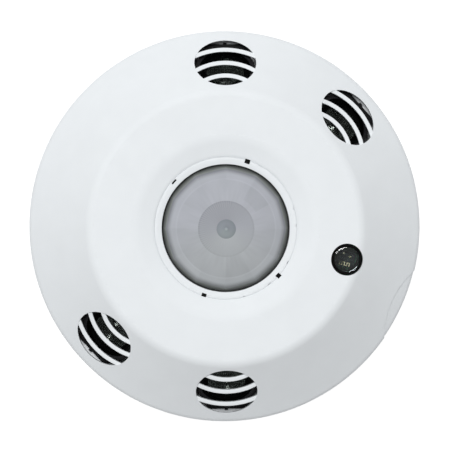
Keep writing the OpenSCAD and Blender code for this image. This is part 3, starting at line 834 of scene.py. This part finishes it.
def lens_mesh_data(low, high):
    """Vertices, colours and groove phases of the whole lens, ring by ring."""
    centre = high.z - LENS_R
    foot = centre + math.sqrt(LENS_R ** 2 - LENS_BROW_R ** 2)
    turns = [2 * math.pi * k / LENS_STEPS for k in range(LENS_STEPS)]
    verts, colours, grooves = [], [], []
    for r, flat, zone in lens_rows():
        middle = (LENS_ZONES[zone][0] + LENS_ZONES[zone][1]) / 2
        for turn in turns:
            verts.append(lens_point(r, flat, zone, turn, centre))
            colours.append(lens_shade(r, turn, zone))
            across = math.hypot(r - middle, from_wedge(turn) * r) if zone in FACETED else r
            grooves.append(across / GROOVE_PITCH)
    for share in (0.0, 0.25, 0.5, 0.75, 1.0):
        verts += [skirt_point(share, turn, foot) for turn in turns]
        colours += [skirt_shade(share)] * LENS_STEPS
    for r, z in lens_hidden(low, high, centre, foot):
        verts += [(r * math.cos(turn), r * math.sin(turn), z) for turn in turns]
    # Flange, bore and inside take the skirt's darkest painted shade
    colours += [skirt_shade(1.0)] * (len(verts) - len(colours))
    grooves += [0.0] * (len(verts) - len(grooves))
    return verts, colours, grooves


def ring_faces(verts, steps):
    """Faces between rings of vertices, leaving out corners and faces where two rings coincide."""
    faces = []
    for start in range(0, len(verts) - steps, steps):
        for k in range(steps):
            after = (k + 1) % steps
            quad = (start + k, start + steps + k, start + steps + after, start + after)
            corners = [i for n, i in enumerate(quad) if math.dist(verts[i], verts[quad[n - 1]]) > 1e-6]
            if len(corners) > 2:
                faces.append(corners)
    return faces


def fresnel_lens():
    """Milky dome of flat wedges in rings round a smooth middle."""
    verts, colours, grooves = lens_mesh_data(*node_box("fresnel_lens"))
    mesh = bpy.data.meshes.new("lens_dome")
    mesh.from_pydata([Vector(v) * MM for v in verts], [], ring_faces(verts, LENS_STEPS))
    paint = mesh.color_attributes.new("shade", "FLOAT_COLOR", "POINT")
    paint.data.foreach_set("color", [c for colour in colours for c in colour])
    mesh.attributes.new("groove", "FLOAT", "POINT").data.foreach_set("value", grooves)
    mesh.materials.append(lens_material())
    lens = bpy.data.objects.new("lens_dome", mesh)
    bpy.context.scene.collection.objects.link(lens)
    shade(lens, 14)
    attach(lens, "cover")
    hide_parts("fresnel_lens")


# ---- Sound transducers ----

def at_transducer(angle):
    """Front of the transducer behind the opening at an angle, with +Z out of the cover."""
    tilt = Matrix.Rotation(CONE, 4, "Y")
    depth = Matrix.Translation((0, 0, -WALL - FACE_GAP))
    return turned(angle) @ Matrix.Translation((SOUND_R, 0, cone_z(SOUND_R))) @ tilt @ depth


def wire(half, across, low, wave, along_x):
    """Vertices and faces of one woven wire of a screen, square in section."""
    steps = max(4, int(half / WIRE_PITCH * 4))
    verts = []
    for k in range(steps + 1):
        along = half * (2 * k / steps - 1)
        lift = low + wave * WIRE_WAVE * math.cos(math.pi * along / WIRE_PITCH)
        for side, up in ((-1, 0), (1, 0), (1, 1), (-1, 1)):
            x, y, z = along, across + side * WIRE_W / 2, lift + up * WIRE_W
            verts.append((x, y, z) if along_x else (y, x, z))
    faces = [(0, 1, 2, 3), (4 * steps + 3, 4 * steps + 2, 4 * steps + 1, 4 * steps)]
    for k in range(steps):
        for i in range(4):
            j = (i + 1) % 4
            faces.append((4 * k + i, 4 * k + j, 4 * k + 4 + j, 4 * k + 4 + i))
    return verts, faces


def screen_mesh():
    """Woven wire screen in a flat ring, in a transducer's own axes."""
    ring_in, ring_top, wire_low = SCREEN_R - 0.7, SCREEN_Z + 0.4, SCREEN_Z + 0.12
    wires_r = SCREEN_R - 0.3
    section = [(ring_in, SCREEN_Z), (SCREEN_R, SCREEN_Z), (SCREEN_R, ring_top), (ring_in, ring_top)]
    ring = lathe("ring", section, 96)
    verts, faces = [], []
    count = int(wires_r / WIRE_PITCH)
    for along_x in (True, False):
        for n in range(-count, count + 1):
            across = n * WIRE_PITCH
            wave = (1 if n % 2 else -1) * (1 if along_x else -1)
            more, walls = wire(math.sqrt(wires_r ** 2 - across ** 2), across, wire_low, wave, along_x)
            faces += [tuple(i + len(verts) for i in face) for face in walls]
            verts += more
    return join([ring, mesh_object("wires", verts, faces)], "screen")


def transducer_screens():
    """Each transducer's dark woven screen."""
    for side, angle in SOUND.items():
        screen = place(screen_mesh(), at_transducer(angle))
        screen.name = side.format("mesh")
        screen.data.materials.append(PAINT["dark_mesh"])
        shade(screen, 30)
        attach(screen, "sensor_head")
        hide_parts(side.format("screen"))


def cone_profile():
    """Closed outline of a resonator cone: turned rings on a shallow slope, over a short stem."""
    axis, stem_r, hub_r, rings_r, edge_r = 0.001, 1.6, 1.0, 1.2, 5.4
    base = -CAN_H + 1.6
    hub_z = base + 1.3
    profile = [(axis, base + 1.15), (0.4, hub_z), (hub_r, hub_z)]
    for k in range(7):
        for across, up in ((0, 0), (0.15, 0.16), (0.35, 0.16), (0.5, 0)):
            out = 0.6 * k + across
            profile.append((rings_r + out, hub_z + 0.19 * out + up))
    profile += [(edge_r, base + 2.55), (edge_r, base + 2.3)]
    return profile + [(stem_r, base + 0.9), (stem_r, base), (axis, base)]


def transducer_cones():
    """Each transducer's resonator cone, its aluminium darkened as painted shade of the opening's depths."""
    profile = cone_profile()
    for side, angle in SOUND.items():
        cone = lathe(side.format("resonator"), profile, 72, PAINT["dark_aluminium"])
        place(cone, at_transducer(angle))
        shade(cone, 30)
        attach(cone, "sensor_head")
        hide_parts(side.format("cone"))


# ---- Daylight sensor ----

def at_light():
    """Axis of the daylight sensor."""
    return turned(LIGHT_AT[1]) @ Matrix.Translation((LIGHT_AT[0], 0, 0))


def light_tube():
    """Black tube with a rounded lip."""
    low, high = node_box("light_tube")
    outer, inner, soft = LIGHT_TUBE_R, LIGHT_TUBE_R - LIGHT_TUBE_WALL, 0.2
    profile = [(inner, low.z), (outer, low.z)]
    profile += arc((outer - soft, high.z - soft), soft, 0, math.pi / 2, 4)
    profile += arc((inner + soft, high.z - soft), soft, math.pi / 2, math.pi, 4)
    tube = place(lathe("light_sensor_tube", profile, 128, matt_black), at_light())
    shade(tube, 40)
    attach(tube, "sensor_head")
    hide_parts("light_tube")


def light_window():
    """Smoked window, flat on top with a rounded shoulder."""
    low, high = node_box("light_window")
    rim, soft, shoulder_w, axis = LIGHT_TUBE_R - LIGHT_TUBE_WALL, 2.6, 0.7, 0.001
    lean = math.asin(shoulder_w / soft)
    shoulder = arc((rim - shoulder_w, high.z - soft), soft, math.pi / 2 - lean, math.pi / 2, 8)
    profile = [(axis, low.z), (rim, low.z)] + shoulder + [(axis, high.z)]
    window = place(lathe("light_sensor_window", profile, 128, PAINT["smoked_plastic"]), at_light())
    shade(window, 40)
    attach(window, "sensor_head")
    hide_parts("light_window")


def track_boxes():
    """Lead ends and serpentine runs of the cell's track, as (x, y, width, height)."""
    runs, pitch, wide, left, foot, head = 5, 0.72, 0.24, -1.75, -1.95, -0.85
    boxes = [(-1.35, 1.25, 0.5, 0.5), (0.55, 0.75, 0.65, 0.45)]
    for k in range(runs):
        x = left + pitch * k
        boxes.append((x, foot, wide, head - foot))
        if k < runs - 1:
            boxes.append((x + wide, head - wide if k % 2 else foot, pitch - wide, wide))
    return boxes


def light_track():
    """Serpentine track and two lead ends on top of the light cell."""
    top = node_box("light_cell")[1].z
    bars = []
    for x, y, w, h in track_boxes():
        outline = [(x, y), (x + w, y), (x + w, y + h), (x, y + h)]
        bars.append(prism("line", outline, top - 0.02, top + 0.05, PAINT["brass"]))
    track = bars[0]
    for bar in bars[1:]:
        carve(track, bar, "UNION")
    track.name = "light_cell_track"
    place(track, at_light())
    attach(track, "sensor_head")


# ---- CAD nodes that keep their shape ----

# Bevels of the nodes whose name contains a word; the first that fits counts
EDGE_WIDTHS = (
    ("plate", 0.25), ("housing", 0.2), ("boot", 0.25), ("knob", 0.14), ("trimmer", 0.15),
    ("switch_body", 0.15), ("slider", 0.08), ("terminal_block", 0.15), ("relay", 0.3), ("chips", 0.07),
    ("controller", 0.08), ("capacitors", 0.25), ("crystal", 0.25), ("pir_can", 0.2), ("inductor", 0.3),
    ("screws", 0.08),
)


def paint_nodes():
    """Gives each CAD node its material, and rounds the edges that a mould or a press would round."""
    slots = {s["node"]: s["material_slot"] for s in frame["record"]["subparts"]}
    for name, node in frame["nodes"].items():
        material = OWN_PAINT.get(name, PAINT.get(slots[name]))
        if material is None:
            continue
        node.data.materials.clear()
        node.data.materials.append(material)
        widths = [width for word, width in EDGE_WIDTHS if word in name]
        if widths:
            soften(node, widths[0])


# ---- Stage ----

def floor_sheet():
    """White floor that glows round the sensor and fades with the distance, in metres."""
    half = 900
    corners = [(-half, -half, 0), (half, -half, 0), (half, half, 0), (-half, half, 0)]
    floor = mesh_object("floor", corners, [(0, 1, 2, 3)])
    floor.location.z = -0.02 * MM
    material, tree, shader = new_material("floor_white", grey(0.15), 0.8)
    away = tree.nodes.new("ShaderNodeVectorMath")
    away.operation = "LENGTH"
    tree.links.new(texture_space(tree), away.inputs[0])
    glow = ramp(tree, away.outputs["Value"], [(0.12, grey(0.95)), (0.16, grey(0.6)), (0.8, grey(0.12))])
    tree.links.new(glow, shader.inputs["Emission Color"])
    shader.inputs["Emission Strength"].default_value = 1.0
    floor.data.materials.append(material)


def surroundings():
    """Even white light from all round."""
    world = bpy.data.worlds.new("surroundings")
    bpy.context.scene.world = world
    world.use_nodes = True
    background = world.node_tree.nodes["Background"]
    background.inputs["Color"].default_value = (1, 1, 1, 1)
    background.inputs["Strength"].default_value = 0.243


def key_light():
    """Soft disc of light above the upper left, aimed at the sensor; distances in metres."""
    lean, far = math.radians(19), 2.0
    key = bpy.data.lights.new("key", "AREA")
    key.shape = "DISK"
    key.size = 0.8
    key.energy = 32
    holder = bpy.data.objects.new("key", key)
    bpy.context.scene.collection.objects.link(holder)
    out = far * math.sin(lean)
    holder.location = (out * math.cos(KEY_BEARING), out * math.sin(KEY_BEARING), far * math.cos(lean))
    holder.rotation_euler = holder.location.to_track_quat("Z", "Y").to_euler()


def photo_camera():
    """Camera over the face, a degree or two off its axis, with +Y upright."""
    camera = bpy.data.cameras.new("camera")
    camera.lens = 191.1
    camera.sensor_width = 36
    camera.clip_start = 0.01
    eye = bpy.data.objects.new("camera", camera)
    bpy.context.scene.collection.objects.link(eye)
    aim = Vector((0.075, 0.47, 8)) * MM
    reach = 0.7
    to_eye = Vector((-math.sin(math.radians(1.07)), math.sin(math.radians(1.7)), 1)).normalized()
    eye.location = aim + to_eye * reach
    forward = (aim - eye.location).normalized()
    right = forward.cross(Vector((0, 1, 0))).normalized()
    up = right.cross(forward)
    eye.rotation_euler = Matrix((right, up, -forward)).transposed().to_euler()
    bpy.context.scene.camera = eye
    bpy.context.scene.view_settings.view_transform = "Standard"


paint_nodes()
front_cover()
lens_collar()
notch_shade_blocks()
fresnel_lens()
transducer_screens()
transducer_cones()
light_tube()
light_window()
light_track()
floor_sheet()
surroundings()
key_light()
photo_camera()

bpy.context.view_layer.update()
